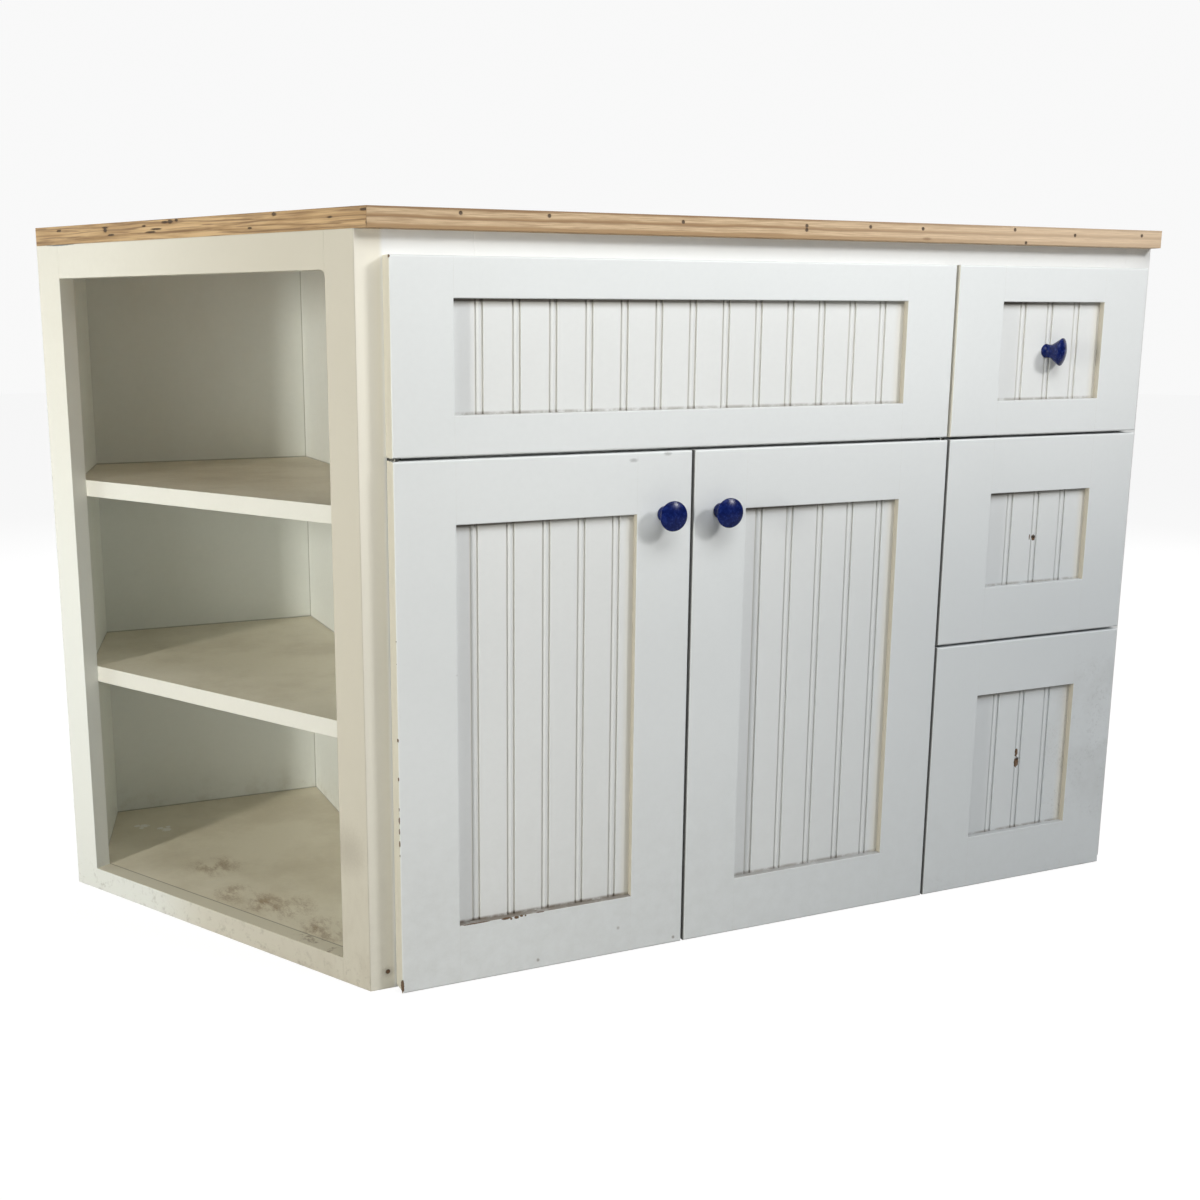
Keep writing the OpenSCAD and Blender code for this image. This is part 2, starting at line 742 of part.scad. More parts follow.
module bushes(p)
    color(metal) for (z = [floor_gap + pocket_h, door_top_z - bush_len])
        translate([p[0], p[1], z]) difference() {
            cylinder(d = bush_d, h = bush_len);
            translate([0, 0, -cut]) cylinder(d = pin_d + 2 * pin_play, h = bush_len + 2 * cut);
        }

// Bores for the bushes, and the pocket that lets the lower arm swing under the door's corner
module pivot_cuts(p, edge_x) {
    reach = arm_w / 2 + arm_gap;
    for (z = [floor_gap - cut, door_top_z - bush_len])
        translate([p[0], p[1], z]) cylinder(d = bush_d + 2 * hole_play,
            h = (z < bush_len ? pocket_h + bush_len : bush_len) + cut);
    x0 = min(edge_x, p[0] - reach);
    x1 = max(edge_x, p[0] + reach);
    translate([edge_x < p[0] ? x0 - cut : x0, p[1] - reach, floor_gap - cut])
        cube([x1 - x0 + cut, -stand_off - p[1] + reach + cut, pocket_h + cut]);
}

// ---- catches ----

module catch_block(x)
    translate([x - catch_w / 2, -stand_off + strike_t + catch_gap, upper_rail_z - catch_h])
        cube([catch_w, catch_d, catch_h]);

catch_x = catch_side + catch_w / 2;

module door_catches()
    color("ivory") for (x = [-catch_x, catch_x]) catch_block(door_gap_x + x);

module strike(x)
    color(metal) translate([x - strike_w / 2, -stand_off, upper_rail_z - catch_h / 2 - strike_h / 2])
        cube([strike_w, strike_t, strike_h]);

module left_door_strike() strike(door_gap_x - catch_x);

module right_door_strike() strike(door_gap_x + catch_x);

// ---- doors ----

right_door_x = fronts_left + door_w + front_gap;

module door_frame(x, knob_x, p, edge_x)
    color(paint) difference() {
        translate([x, moving_y, floor_gap]) front_frame(door_w, door_h, member_w);
        translate([0, moving_y, 0]) knob_hole(knob_x, knob_z);
        pivot_cuts(p, edge_x);
    }

module door_panel(x)
    color(paint) translate([x, moving_y, floor_gap]) beaded_panel(door_w, door_h, member_w);

left_knob_x = fronts_left + door_w - knob_in;
right_knob_x = right_door_x + knob_in;

module left_door_frame() door_frame(fronts_left, left_knob_x, left_pivot, fronts_left);

module left_door_panel() door_panel(fronts_left);

module left_door_bushes() bushes(left_pivot);

module left_door_knob() knob(left_knob_x, moving_y, knob_z);

module left_door_knob_screw() knob_screw(left_knob_x, moving_y, knob_z, front_t);

module right_door_frame() door_frame(right_door_x, right_knob_x, right_pivot, right_door_x + door_w);

module right_door_panel() door_panel(right_door_x);

module right_door_bushes() bushes(right_pivot);

module right_door_knob() knob(right_knob_x, moving_y, knob_z);

module right_door_knob_screw() knob_screw(right_knob_x, moving_y, knob_z, front_t);

// ---- drawers ----

drawer_knob_x = drawers_x + drawer_front_w / 2;
function drawer_knob_z(d) = d[0] + d[1] / 2;

module drawer_frame(d)
    color(paint) translate([drawers_x, moving_y, d[0]]) front_frame(drawer_front_w, d[1], d[4]);

module drawer_panel(d)
    color(paint) difference() {
        translate([drawers_x, moving_y, d[0]]) beaded_panel(drawer_front_w, d[1], d[4]);
        translate([0, moving_y, 0]) knob_hole(drawer_knob_x, drawer_knob_z(d));
    }

module box_bottom(d, play)
    translate([box_x + box_t - box_bottom_groove + play, box_front_y + box_t - box_bottom_groove + play,
        box_z(d) + box_bottom_up - (play == 0 ? box_bottom_play : 0)])
        cube([box_w - 2 * (box_t - box_bottom_groove + play), box_len - 2 * (box_t - box_bottom_groove + play),
            box_bottom_t + (play == 0 ? 2 * box_bottom_play : 0)]);

// Sides the full length with the runner's groove outside, and front and back boards between them
module drawer_box(d)
    color(bare_wood) {
        for (side = [0, 1]) difference() {
            translate([box_x + side * (box_w - box_t), box_front_y, box_z(d)])
                cube([box_t, box_len, box_h(d)]);
            box_bottom(d, 0);
            translate([box_x + side * (box_w - runner_groove) - (1 - side) * cut, frame_t - 2,
                runner_z(d) - runner_h / 2 - runner_play])
                cube([runner_groove + cut, box_len, runner_h + 2 * runner_play]);
        }
        for (y = [box_front_y, box_back_y - box_t]) difference() {
            translate([box_x + box_t + glue_line, y, box_z(d)])
                cube([box_w - 2 * (box_t + glue_line), box_t, box_h(d)]);
            box_bottom(d, 0);
            translate([drawer_knob_x, box_front_y - cut, drawer_knob_z(d)]) rotate([-90, 0, 0])
                cylinder(d = knob_screw_d + 2 * screw_play, h = box_t + 2 * cut);
        }
    }

module drawer_bottom(d) color(bare_wood) box_bottom(d, box_bottom_play);

module drawer_stop(d)
    color(bare_wood) translate([drawer_knob_x - stop_w / 2, stop_y, box_z(d) + box_h(d) - stop_lap])
        cube([stop_w, stop_t, d[3] + stop_catch - box_z(d) - box_h(d) + stop_lap]);

module top_drawer_frame() drawer_frame(top_drawer);

module top_drawer_panel() drawer_panel(top_drawer);

module top_drawer_box() drawer_box(top_drawer);

module top_drawer_bottom() drawer_bottom(top_drawer);

module top_drawer_stop() drawer_stop(top_drawer);

module top_drawer_knob() knob(drawer_knob_x, moving_y + recess, drawer_knob_z(top_drawer));

module top_drawer_knob_screw()
    knob_screw(drawer_knob_x, moving_y + recess, drawer_knob_z(top_drawer), front_t - recess + box_t);

module middle_drawer_frame() drawer_frame(middle_drawer);

module middle_drawer_panel() drawer_panel(middle_drawer);

module middle_drawer_box() drawer_box(middle_drawer);

module middle_drawer_bottom() drawer_bottom(middle_drawer);

module middle_drawer_stop() drawer_stop(middle_drawer);

module bottom_drawer_frame() drawer_frame(bottom_drawer);

module bottom_drawer_panel() drawer_panel(bottom_drawer);

module bottom_drawer_box() drawer_box(bottom_drawer);

module bottom_drawer_bottom() drawer_bottom(bottom_drawer);

module bottom_drawer_stop() drawer_stop(bottom_drawer);

placed() top_board();
placed() front_left_stile();
placed() front_middle_stile();
placed() front_right_stile();
placed() front_top_rail();
placed() front_bottom_rail();
placed() front_cross_rails();
placed() angled_frame_stiles();
placed() angled_frame_rails();
placed() left_end_panel();
placed() shelf_partition();
placed() drawer_partition();
placed() right_end_panel();
placed() back_panel();
placed() main_decks();
placed() open_deck();
placed() upper_open_shelf();
placed() lower_open_shelf();
placed() top_stretchers();
placed() cabinet_shelf();
placed() shelf_pins();
placed() false_front_frame();
placed() false_front_panel();
placed() false_front_battens();
placed() false_front_screws();
placed() runner_packers();
placed() drawer_runners();
placed() door_brackets();
placed() door_pins();
placed() bracket_screws();
placed() door_catches();
placed() left_door_frame();
placed() left_door_panel();
placed() left_door_bushes();
placed() left_door_strike();
placed() left_door_knob();
placed() left_door_knob_screw();
placed() right_door_frame();
placed() right_door_panel();
placed() right_door_bushes();
placed() right_door_strike();
placed() right_door_knob();
placed() right_door_knob_screw();
placed() top_drawer_frame();
placed() top_drawer_panel();
placed() top_drawer_box();
placed() top_drawer_bottom();
placed() top_drawer_stop();
placed() top_drawer_knob();
placed() top_drawer_knob_screw();
placed() middle_drawer_frame();
placed() middle_drawer_panel();
placed() middle_drawer_box();
placed() middle_drawer_bottom();
placed() middle_drawer_stop();
placed() bottom_drawer_frame();
placed() bottom_drawer_panel();
placed() bottom_drawer_box();
placed() bottom_drawer_bottom();
placed() bottom_drawer_stop();
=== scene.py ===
"""Looks for the kitchen island unit: painted face frames, beaded panels, plywood top board.

Row frame, in metres: the front faces -Y, the open shelves are at -X, the floor is Z = 0.
"""
import math

import bmesh
import bpy
from mathutils import Matrix, Vector


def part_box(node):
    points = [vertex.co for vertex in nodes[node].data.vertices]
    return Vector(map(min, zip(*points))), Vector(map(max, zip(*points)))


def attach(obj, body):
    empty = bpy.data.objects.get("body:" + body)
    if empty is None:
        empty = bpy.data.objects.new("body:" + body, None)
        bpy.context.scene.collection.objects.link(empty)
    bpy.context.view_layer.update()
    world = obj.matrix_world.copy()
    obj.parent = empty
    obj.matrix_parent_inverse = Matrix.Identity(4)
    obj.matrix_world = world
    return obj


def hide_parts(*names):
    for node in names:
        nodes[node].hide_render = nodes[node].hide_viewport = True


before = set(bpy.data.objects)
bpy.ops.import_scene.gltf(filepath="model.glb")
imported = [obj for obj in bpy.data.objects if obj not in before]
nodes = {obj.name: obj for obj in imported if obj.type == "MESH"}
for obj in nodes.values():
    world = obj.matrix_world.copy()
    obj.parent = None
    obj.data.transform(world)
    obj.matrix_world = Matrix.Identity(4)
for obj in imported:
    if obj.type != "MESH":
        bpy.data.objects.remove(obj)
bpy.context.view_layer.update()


# Planes and directions that the looks refer to
FRONT = -0.28225  # face of the face frame
MOVING = -0.30275  # face of the doors and drawers
FIXED = -0.30125  # face of the false front
PANEL_BACK = 0.00705  # how far a panel's face lies behind its frame's
BEAD_DEPTH = 0.0016  # depth of the grooves between the beads
FRAME_T = 0.020  # thickness of the face frames
TURN = Vector((-0.8660254, -0.5, 0))  # outward normal of the angled frame
SLANT = Vector((-0.5, 0.8660254, 0))  # from the bend along the angled frame
BEND = Vector((-0.3755, FRONT, 0))  # where the angled frame meets the front

# Colours that several looks share
WHITE = (0.80, 0.825, 0.83)
CREAM = (0.775, 0.75, 0.665)
CLEAN_AND_LIT_WHITE = (0.90, 0.91, 0.90)  # frame paint that nobody touches, and painted light on the top rail's left end
BARE = (0.22, 0.13, 0.07)
DIRT = (0.16, 0.125, 0.085)

MIX_A, MIX_B, MIX_OUT = 6, 7, 2  # sockets of a Mix node that mixes colours


# ---------------------------------------------------------------- material nodes
class Look:
    """A material whose nodes are made by short calls. Places and the way that a face points are
    the piece's own, as it stands at rest in the row frame, so the marks move with it."""

    def __init__(self, name, rough, **fixed):
        self.mat = bpy.data.materials.new(name)
        self.mat.use_nodes = True
        self.tree = self.mat.node_tree
        self.bsdf = self.tree.nodes["Principled BSDF"]
        self.bsdf.inputs["Roughness"].default_value = rough
        for key, value in fixed.items():
            self.bsdf.inputs[key.replace("_", " ")].default_value = value
        own = self.node("ShaderNodeTexCoord").outputs
        self.place = own["Object"]
        self.x, self.y, self.z = self.split(self.place)
        self.nx, self.ny, self.nz = self.split(own["Normal"])
        self.bump = None

    def node(self, kind, **props):
        n = self.tree.nodes.new(kind)
        for key, value in props.items():
            setattr(n, key, value)
        return n

    def put(self, socket, value):
        if isinstance(value, bpy.types.NodeSocket):
            self.tree.links.new(value, socket)
        elif isinstance(value, (tuple, list, Vector)) and len(socket.default_value) == 4:
            socket.default_value = (*value, 1.0)
        else:
            socket.default_value = value

    def split(self, vector):
        n = self.node("ShaderNodeSeparateXYZ")
        self.put(n.inputs[0], vector)
        return n.outputs

    def math(self, op, a, b=0.0):
        n = self.node("ShaderNodeMath", operation=op)
        self.put(n.inputs[0], a)
        self.put(n.inputs[1], b)
        return n.outputs[0]

    def add(self, a, b):
        return self.math("ADD", a, b)

    def sub(self, a, b):
        return self.math("SUBTRACT", a, b)

    def apart(self, value, level):
        """How far a value is from a fixed level."""
        return self.math("ABSOLUTE", self.add(value, -level))

    def mul(self, a, b):
        return self.math("MULTIPLY", a, b)

    def top(self, a, b):
        return self.math("MAXIMUM", a, b)

    def ramp(self, value, low, high, out_low=0.0, out_high=1.0):
        n = self.node("ShaderNodeMapRange", interpolation_type="SMOOTHSTEP")
        for i, v in enumerate((value, low, high, out_low, out_high)):
            self.put(n.inputs[i], v)
        return n.outputs[0]

    def fall(self, value, low, high):
        return self.ramp(value, low, high, 1.0, 0.0)

    def stretch(self, sx, sy, sz, turn=0.0, vector=None):
        n = self.node("ShaderNodeMapping")
        self.put(n.inputs["Vector"], vector or self.place)
        n.inputs["Rotation"].default_value = (0, 0, turn)
        n.inputs["Scale"].default_value = (sx, sy, sz)
        return n.outputs[0]

    def noise(self, scale, detail=3.0, rough=0.55, vector=None, warp=0.0):
        n = self.node("ShaderNodeTexNoise")
        self.put(n.inputs["Vector"], vector or self.place)
        n.inputs["Scale"].default_value = scale
        n.inputs["Detail"].default_value = detail
        n.inputs["Roughness"].default_value = rough
        n.inputs["Distortion"].default_value = warp
        return n.outputs[0]

    def cells(self, scale):
        n = self.node("ShaderNodeTexVoronoi", feature="F1")
        self.put(n.inputs["Vector"], self.place)
        n.inputs["Scale"].default_value = scale
        return n.outputs["Distance"]

    def mix(self, share, a, b):
        n = self.node("ShaderNodeMix", data_type="RGBA")
        self.put(n.inputs[0], share)
        self.put(n.inputs[MIX_A], a)
        self.put(n.inputs[MIX_B], b)
        return n.outputs[MIX_OUT]

    def over(self, tone, share, amount, colour):
        """Lays a colour over the tone, at most by amount."""
        return self.mix(self.mul(share, amount), tone, colour)

    def band(self, value, stops):
        """Colours along a value from 0 to 1."""
        n = self.node("ShaderNodeValToRGB")
        self.put(n.inputs[0], value)
        points = n.color_ramp.elements
        for point, (at, colour) in zip(points, (stops[0], stops[-1])):
            point.position, point.color = at, (*colour, 1)
        for at, colour in stops[1:-1]:
            points.new(at).color = (*colour, 1)
        return n.outputs[0]

    def join(self, *parts):
        n = self.node("ShaderNodeCombineXYZ")
        for socket, part in zip(n.inputs, parts):
            self.put(socket, part)
        return n.outputs[0]

    def blend(self, share, a, b):
        return self.add(a, self.mul(share, self.sub(b, a)))

    def vector(self, op, a, b=(0, 0, 0)):
        n = self.node("ShaderNodeVectorMath", operation=op)
        self.put(n.inputs[0], a)
        n.inputs[1].default_value = b
        return n.outputs

    def along(self, way, origin):
        """Distance from origin in one direction."""
        far = self.vector("DOT_PRODUCT", self.place, way)["Value"]
        return self.add(far, -Vector(origin).dot(Vector(way)))

    def spot(self, centre, radius, soft=0.3, stretch=(1, 1, 1), ragged=0.0, place=None):
        """1 inside a blob round centre, 0 outside it; ragged breaks its outline."""
        v = self.vector("SUBTRACT", place or self.place, centre)["Vector"]
        v = self.vector("DIVIDE", v, stretch)["Vector"]
        far = self.vector("LENGTH", v)["Value"]
        if ragged:
            far = self.add(far, self.mul(self.add(self.rough_noise(), -0.5), ragged * radius))
        return self.fall(far, radius * (1 - soft), radius * (1 + soft))

    def rough_noise(self):
        if not hasattr(self, "_rough"):
            self._rough = self.noise(420, 3, 0.7)
        return self._rough

    def spots(self, places, **options):
        total = 0.0
        for place in places:
            total = self.top(total, self.spot(place[:3], place[3], **options))
        return total

    def height(self, value, distance):
        """Adds bump, distance metres high."""
        n = self.node("ShaderNodeBump")
        n.inputs["Distance"].default_value = distance
        self.put(n.inputs["Height"], value)
        if self.bump is not None:
            self.put(n.inputs["Normal"], self.bump)
        self.bump = n.outputs[0]

    def ease(self, radius):
        """Softens the light on sharp edges, as on sanded and painted wood."""
        n = self.node("ShaderNodeBevel", samples=4)
        n.inputs["Radius"].default_value = radius
        self.bump = n.outputs[0]

    def done(self, colour, rough=None):
        self.put(self.bsdf.inputs["Base Color"], colour)
        if rough is not None:
            self.put(self.bsdf.inputs["Roughness"], rough)
        if self.bump is not None:
            self.put(self.bsdf.inputs["Normal"], self.bump)
        return self.mat


def wear(names, look):
    """Gives some nodes their material."""
    for name in names.split():
        slots = nodes[name].data.materials
        slots.clear()
        slots.append(look)


def shade(colour, share):
    return [c * share for c in colour]


def paint(name, colour, chips=(), stains=(), marks=(), holes=(), low=0.0, depth=None, dirt_and_shade=None, ease=0.0):
    """Brushed satin paint. chips and holes show bare wood, stains are soft and brown, marks are
    grey rubs. low darkens towards the floor, depth=(face, floor, colour) tints the bead grooves,
    dirt_and_shade is a function that adds a piece's own dirt and on some pieces painted light and
    shade, and ease rounds the light on edges."""
    m = Look(name, 0.42)
    if ease:
        m.ease(ease)
    cloudy = m.noise(3.5, 3, 0.5)
    fine = m.noise(150, 4, 0.65)
    tone = m.mix(m.ramp(cloudy, 0.3, 0.7), shade(colour, 0.98), shade(colour, 1.015))
    tone = m.mix(m.ramp(fine, 0.35, 0.7, 0.0, 0.05), tone, shade(colour, 0.75))
    m.height(fine, 0.00005)
    rough = m.ramp(fine, 0.3, 0.7, 0.36, 0.50)
    if low:
        worn = m.mul(m.fall(m.z, 0.0, 0.28), m.ramp(m.noise(60, 6, 0.7), 0.20, 0.85))
        tone = m.over(tone, worn, low, [c * f for c, f in zip(colour, (0.55, 0.53, 0.48))])
    if depth:
        face, floor, tint = depth
        tone = m.mix(m.ramp(m.y, face + 0.0001, floor, 0, 0.75), tone, tint)
    if dirt_and_shade is not None:
        tone = dirt_and_shade(m, tone)
    for *centre, radius, share in stains:
        tone = m.over(tone, m.spot(centre, radius, 0.9, ragged=1.2), share, DIRT)
    if marks:
        rubs = m.spots(marks, soft=0.6, stretch=(1.6, 1, 0.7), ragged=1.0)
        tone = m.over(tone, rubs, 0.55, (0.30, 0.30, 0.30))
    if chips:
        gone = 0.0
        for *centre, radius, stretch in chips:
            gone = m.top(gone, m.spot(centre, radius, 0.12, stretch, ragged=1.3))
        rim = m.ramp(gone, 0.02, 0.5)
        tone = m.over(tone, rim, 0.5, shade(colour, 0.8))
        heart = m.ramp(gone, 0.45, 0.62)
        tone = m.mix(heart, tone, m.mix(m.rough_noise(), (0.05, 0.03, 0.018), BARE))
        m.height(m.sub(1.0, gone), 0.0004)
        rough = m.add(rough, m.mul(gone, 0.3))
    if holes:
        hole = m.spots(holes, soft=0.15)
        tone = m.mix(hole, tone, (0.13, 0.072, 0.038))
        m.height(m.sub(1.0, hole), 0.001)
    return m.done(tone, rough)


# ---------------------------------------------------------------- camera
scene = bpy.context.scene
camera = bpy.data.objects.new("camera", bpy.data.cameras.new("camera"))
scene.collection.objects.link(camera)
camera.data.sensor_width = 36
camera.data.lens = 42.314
camera.data.shift_x = 0.07213
camera.data.shift_y = 0.01320
camera.data.clip_end = 60
right = Vector((0.92134844, -0.38873597, -0.00118689))
up = Vector((0.0795068, 0.18544973, 0.97943201))
turned = Matrix((right, up, right.cross(up))).transposed().to_4x4()
camera.matrix_world = Matrix.Translation((-0.770010, -1.604515, 0.685354)) @ turned
scene.camera = camera

# ---------------------------------------------------------------- floor and light
floor_mesh = bpy.data.meshes.new("floor")
build = bmesh.new()
bmesh.ops.create_circle(build, cap_ends=True, segments=96, radius=14)  # 28 m across, so no edge shows
build.to_mesh(floor_mesh)
build.free()
floor = bpy.data.objects.new("floor", floor_mesh)
scene.collection.objects.link(floor)
# The floor and the sky look pale to the camera but throw little light back, so that the shelves
# keep their shadows
m = Look("floor_pale", 0.85)
seen = m.node("ShaderNodeLightPath").outputs["Is Camera Ray"]
m.bsdf.inputs["Emission Color"].default_value = (1, 1, 1, 1)
m.put(m.bsdf.inputs["Emission Strength"], m.mul(seen, 0.92))
shown = m.mix(m.noise(2.0, 4), (0.10, 0.10, 0.10), (0.12, 0.12, 0.12))
floor_mesh.materials.append(m.done(m.mix(seen, (0.50, 0.50, 0.49), shown)))

world = bpy.data.worlds.new("studio")
scene.world = world
world.use_nodes = True
sky = world.node_tree
seen = sky.nodes.new("ShaderNodeLightPath").outputs["Is Camera Ray"]
tint = sky.nodes.new("ShaderNodeMix")
tint.data_type = "RGBA"
tint.inputs[MIX_A].default_value = (0.03, 0.03, 0.032, 1)
tint.inputs[MIX_B].default_value = (0.945, 0.945, 0.945, 1)
sky.links.new(seen, tint.inputs[0])
sky.links.new(tint.outputs[MIX_OUT], sky.nodes["Background"].inputs["Color"])


def softbox(name, place, target, size, power, colour):
    """An area lamp that points at a target."""
    data = bpy.data.lights.new(name, "AREA")
    data.shape = "RECTANGLE"
    data.size, data.size_y = size
    data.energy = power
    data.color = colour
    lamp = bpy.data.objects.new(name, data)
    lamp.location = place
    lamp.rotation_euler = (Vector(target) - Vector(place)).to_track_quat("-Z", "Y").to_euler()
    scene.collection.objects.link(lamp)


softbox("key", (1.75, -2.5, 2.05), (0.1, -0.3, 0.45), (0.55, 0.55), 44, (1.0, 0.99, 0.98))
softbox("high", (0.12, -1.0, 1.45), (0.12, -0.28, 0.5), (1.1, 0.45), 7.6, (0.99, 1.0, 1.0))
softbox("left", (-2.25, -0.95, 0.75), (-0.45, 0.1, 0.35), (0.16, 0.6), 26, (1.0, 0.98, 0.90))
softbox("left_low", (-1.9, -1.2, 0.35), (-0.5, 0.0, 0.25), (0.8, 0.5), 2.5, (1.0, 1.0, 0.97))
softbox("behind_left", (-1.9, 0.9, 0.7), (-0.55, 0.1, 0.4), (0.6, 1.2), 7, (0.94, 1.0, 1.0))
softbox("behind", (0.5, 2.7, 1.8), (0.1, 0.2, 0.4), (1.2, 1.2), 45, (1.0, 1.0, 1.0))
softbox("far_right", (2.9, 0.9, 1.5), (0.6, 0.1, 0.4), (1.2, 1.2), 30, (1.0, 1.0, 1.0))

scene.view_settings.view_transform = "Standard"

# ---------------------------------------------------------------- carcass
def frame_ends(m, tone):
    """Painted shade towards the bend and painted light at the far foot, with handling dirt low down."""
    # painted shade: darker and yellower towards the bend
    tone = m.mix(m.ramp(m.x, -0.60, -0.42, 0, 0.85), tone, (0.60, 0.56, 0.465))
    # painted light: whiter at the far foot
    far_foot = m.mul(m.fall(m.z, 0.25, 0.75), m.fall(m.x, -0.56, -0.50))
    tone = m.over(tone, far_foot, 0.8, (0.84, 0.86, 0.83))
    smear = m.ramp(m.noise(1.0, 5, 0.65, m.stretch(30, 30, 12)), 0.42, 0.75)
    hand = m.mul(m.fall(m.z, 0.05, 0.30), m.ramp(m.x, -0.46, -0.40))
    tone = m.over(tone, m.mul(smear, hand), 0.3, (0.42, 0.37, 0.29))
    foot = m.mul(m.fall(m.z, 0.0, 0.05), m.ramp(m.noise(90, 4, 0.7), 0.5, 0.72))
    tone = m.over(tone, foot, 0.4, DIRT)
    # the bottom rail's top face shares the deck's wash, with scratches near the bend
    flat = m.mul(m.ramp(m.nz, 0.5, 0.9), m.fall(m.z, 0.1, 0.2))
    tone = m.over(tone, flat, 0.9, (0.72, 0.665, 0.53))
    scratch = m.ramp(m.noise(1.0, 4, 0.7, m.stretch(60, 60, 60)), 0.54, 0.66)
    scratch = m.mul(scratch, m.ramp(m.x, -0.44, -0.41))
    tone = m.over(tone, m.mul(flat, scratch), 0.7, (0.24, 0.16, 0.10))
    # a thin dark mark under the board at the far corner
    return m.mix(m.spot((-0.602, 0.110, 0.7755), 0.0016, 0.4, (12, 18, 1), 0.8), tone, (0.07, 0.10, 0.12))


wear("angled_frame_stiles angled_frame_rails", paint(
    "cream_frame", CREAM, low=0.12, dirt_and_shade=frame_ends, ease=0.0012,
    stains=((-0.39, -0.2573, 0.15, 0.02, 0.25), (-0.3705, -0.291, 0.341, 0.0015, 0.8))))


def left_stile_tint(m, tone):
    """Cream on the strip beside the doors, paler higher up, and white where it meets the top rail."""
    tone = m.mix(m.ramp(m.z, 0.30, 0.62), tone, (0.85, 0.82, 0.725))
    return m.mix(m.ramp(m.x, -0.352, -0.346), tone, CLEAN_AND_LIT_WHITE)


def rail_painted_light(m, tone):
    """Painted light: the top rail is whiter towards the left."""
    return m.mix(m.mul(m.fall(m.x, -0.35, 0.25), m.ramp(m.z, 0.70, 0.72)), tone, CLEAN_AND_LIT_WHITE)


wear("front_left_stile", paint(
    "cream_stile", (0.78, 0.755, 0.665), low=0.15, ease=0.0012, dirt_and_shade=left_stile_tint,
    holes=((-0.3563, FRONT, 0.019, 0.0024),), stains=((-0.3563, FRONT, 0.019, 0.005, 0.4),)))
wear("front_middle_stile front_right_stile front_top_rail front_bottom_rail front_cross_rails", paint(
    "white_frame", (0.81, 0.82, 0.815), low=0.25, ease=0.0012, dirt_and_shade=rail_painted_light))


def shelf_dirt(m, tone):
    """Tan wash with scuffs on the flat faces; the front edges stay lighter."""
    flat = m.ramp(m.nz, 0.5, 0.9)
    blotch = m.ramp(m.noise(7, 6, 0.62), 0.40, 0.68)
    tone = m.mix(m.mul(flat, 0.9), tone, m.mix(blotch, (0.80, 0.735, 0.585), (0.66, 0.59, 0.445)))
    scuff = m.ramp(m.noise(1.0, 4, 0.7, m.stretch(14, 70, 14, 0.6)), 0.60, 0.72)
    return m.over(tone, m.mul(flat, scuff), 0.35, (0.70, 0.66, 0.56))


DECK_TOP = 0.027  # height of the open deck's upper face
# x, y and radius on the deck
SPILLS = ((-0.470, 0.062, 0.022), (-0.464, -0.030, 0.018), (-0.441, -0.070, 0.022),
          (-0.420, -0.096, 0.024), (-0.398, -0.160, 0.018), (-0.390, -0.188, 0.014))
SPLASHES = ((-0.537, 0.250, 0.004), (-0.528, 0.247, 0.006), (-0.533, 0.239, 0.003),
            (-0.510, 0.229, 0.004), (-0.503, 0.221, 0.006), (-0.499, 0.231, 0.003))


def deck_dirt(m, tone):
    """Brown spills down the middle, two splashes of white paint, and painted shade at the seam behind the
    frame.
    """
    tone = shelf_dirt(m, tone)
    spill = m.spots([(x, y, DECK_TOP, r) for x, y, r in SPILLS], soft=0.9, ragged=2.0)
    grain = m.ramp(m.noise(1.0, 5, 0.7, m.stretch(60, 25, 60, 0.5)), 0.40, 0.62)
    tone = m.over(tone, m.mul(spill, grain), 0.8, (0.31, 0.20, 0.10))
    drops = m.spots([(x, y, DECK_TOP, r) for x, y, r in SPLASHES], soft=0.3, ragged=2.0)
    tone = m.mix(drops, tone, (0.98, 0.95, 0.89))
    # painted shade: a dark line at the seam behind the frame
    seam = m.fall(m.mul(m.along(TURN, BEND), -1), FRAME_T, FRAME_T + 0.0008)
    return m.over(tone, seam, 0.75, (0.20, 0.16, 0.11))


wear("upper_open_shelf lower_open_shelf", paint(
    "shelf_paint", (0.79, 0.78, 0.71), dirt_and_shade=shelf_dirt, ease=0.001))
wear("open_deck", paint("deck_paint", (0.76, 0.73, 0.64), dirt_and_shade=deck_dirt, ease=0.001))

BAY_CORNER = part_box("shelf_partition")[0][0]  # x of the corner between the bay's back and right walls


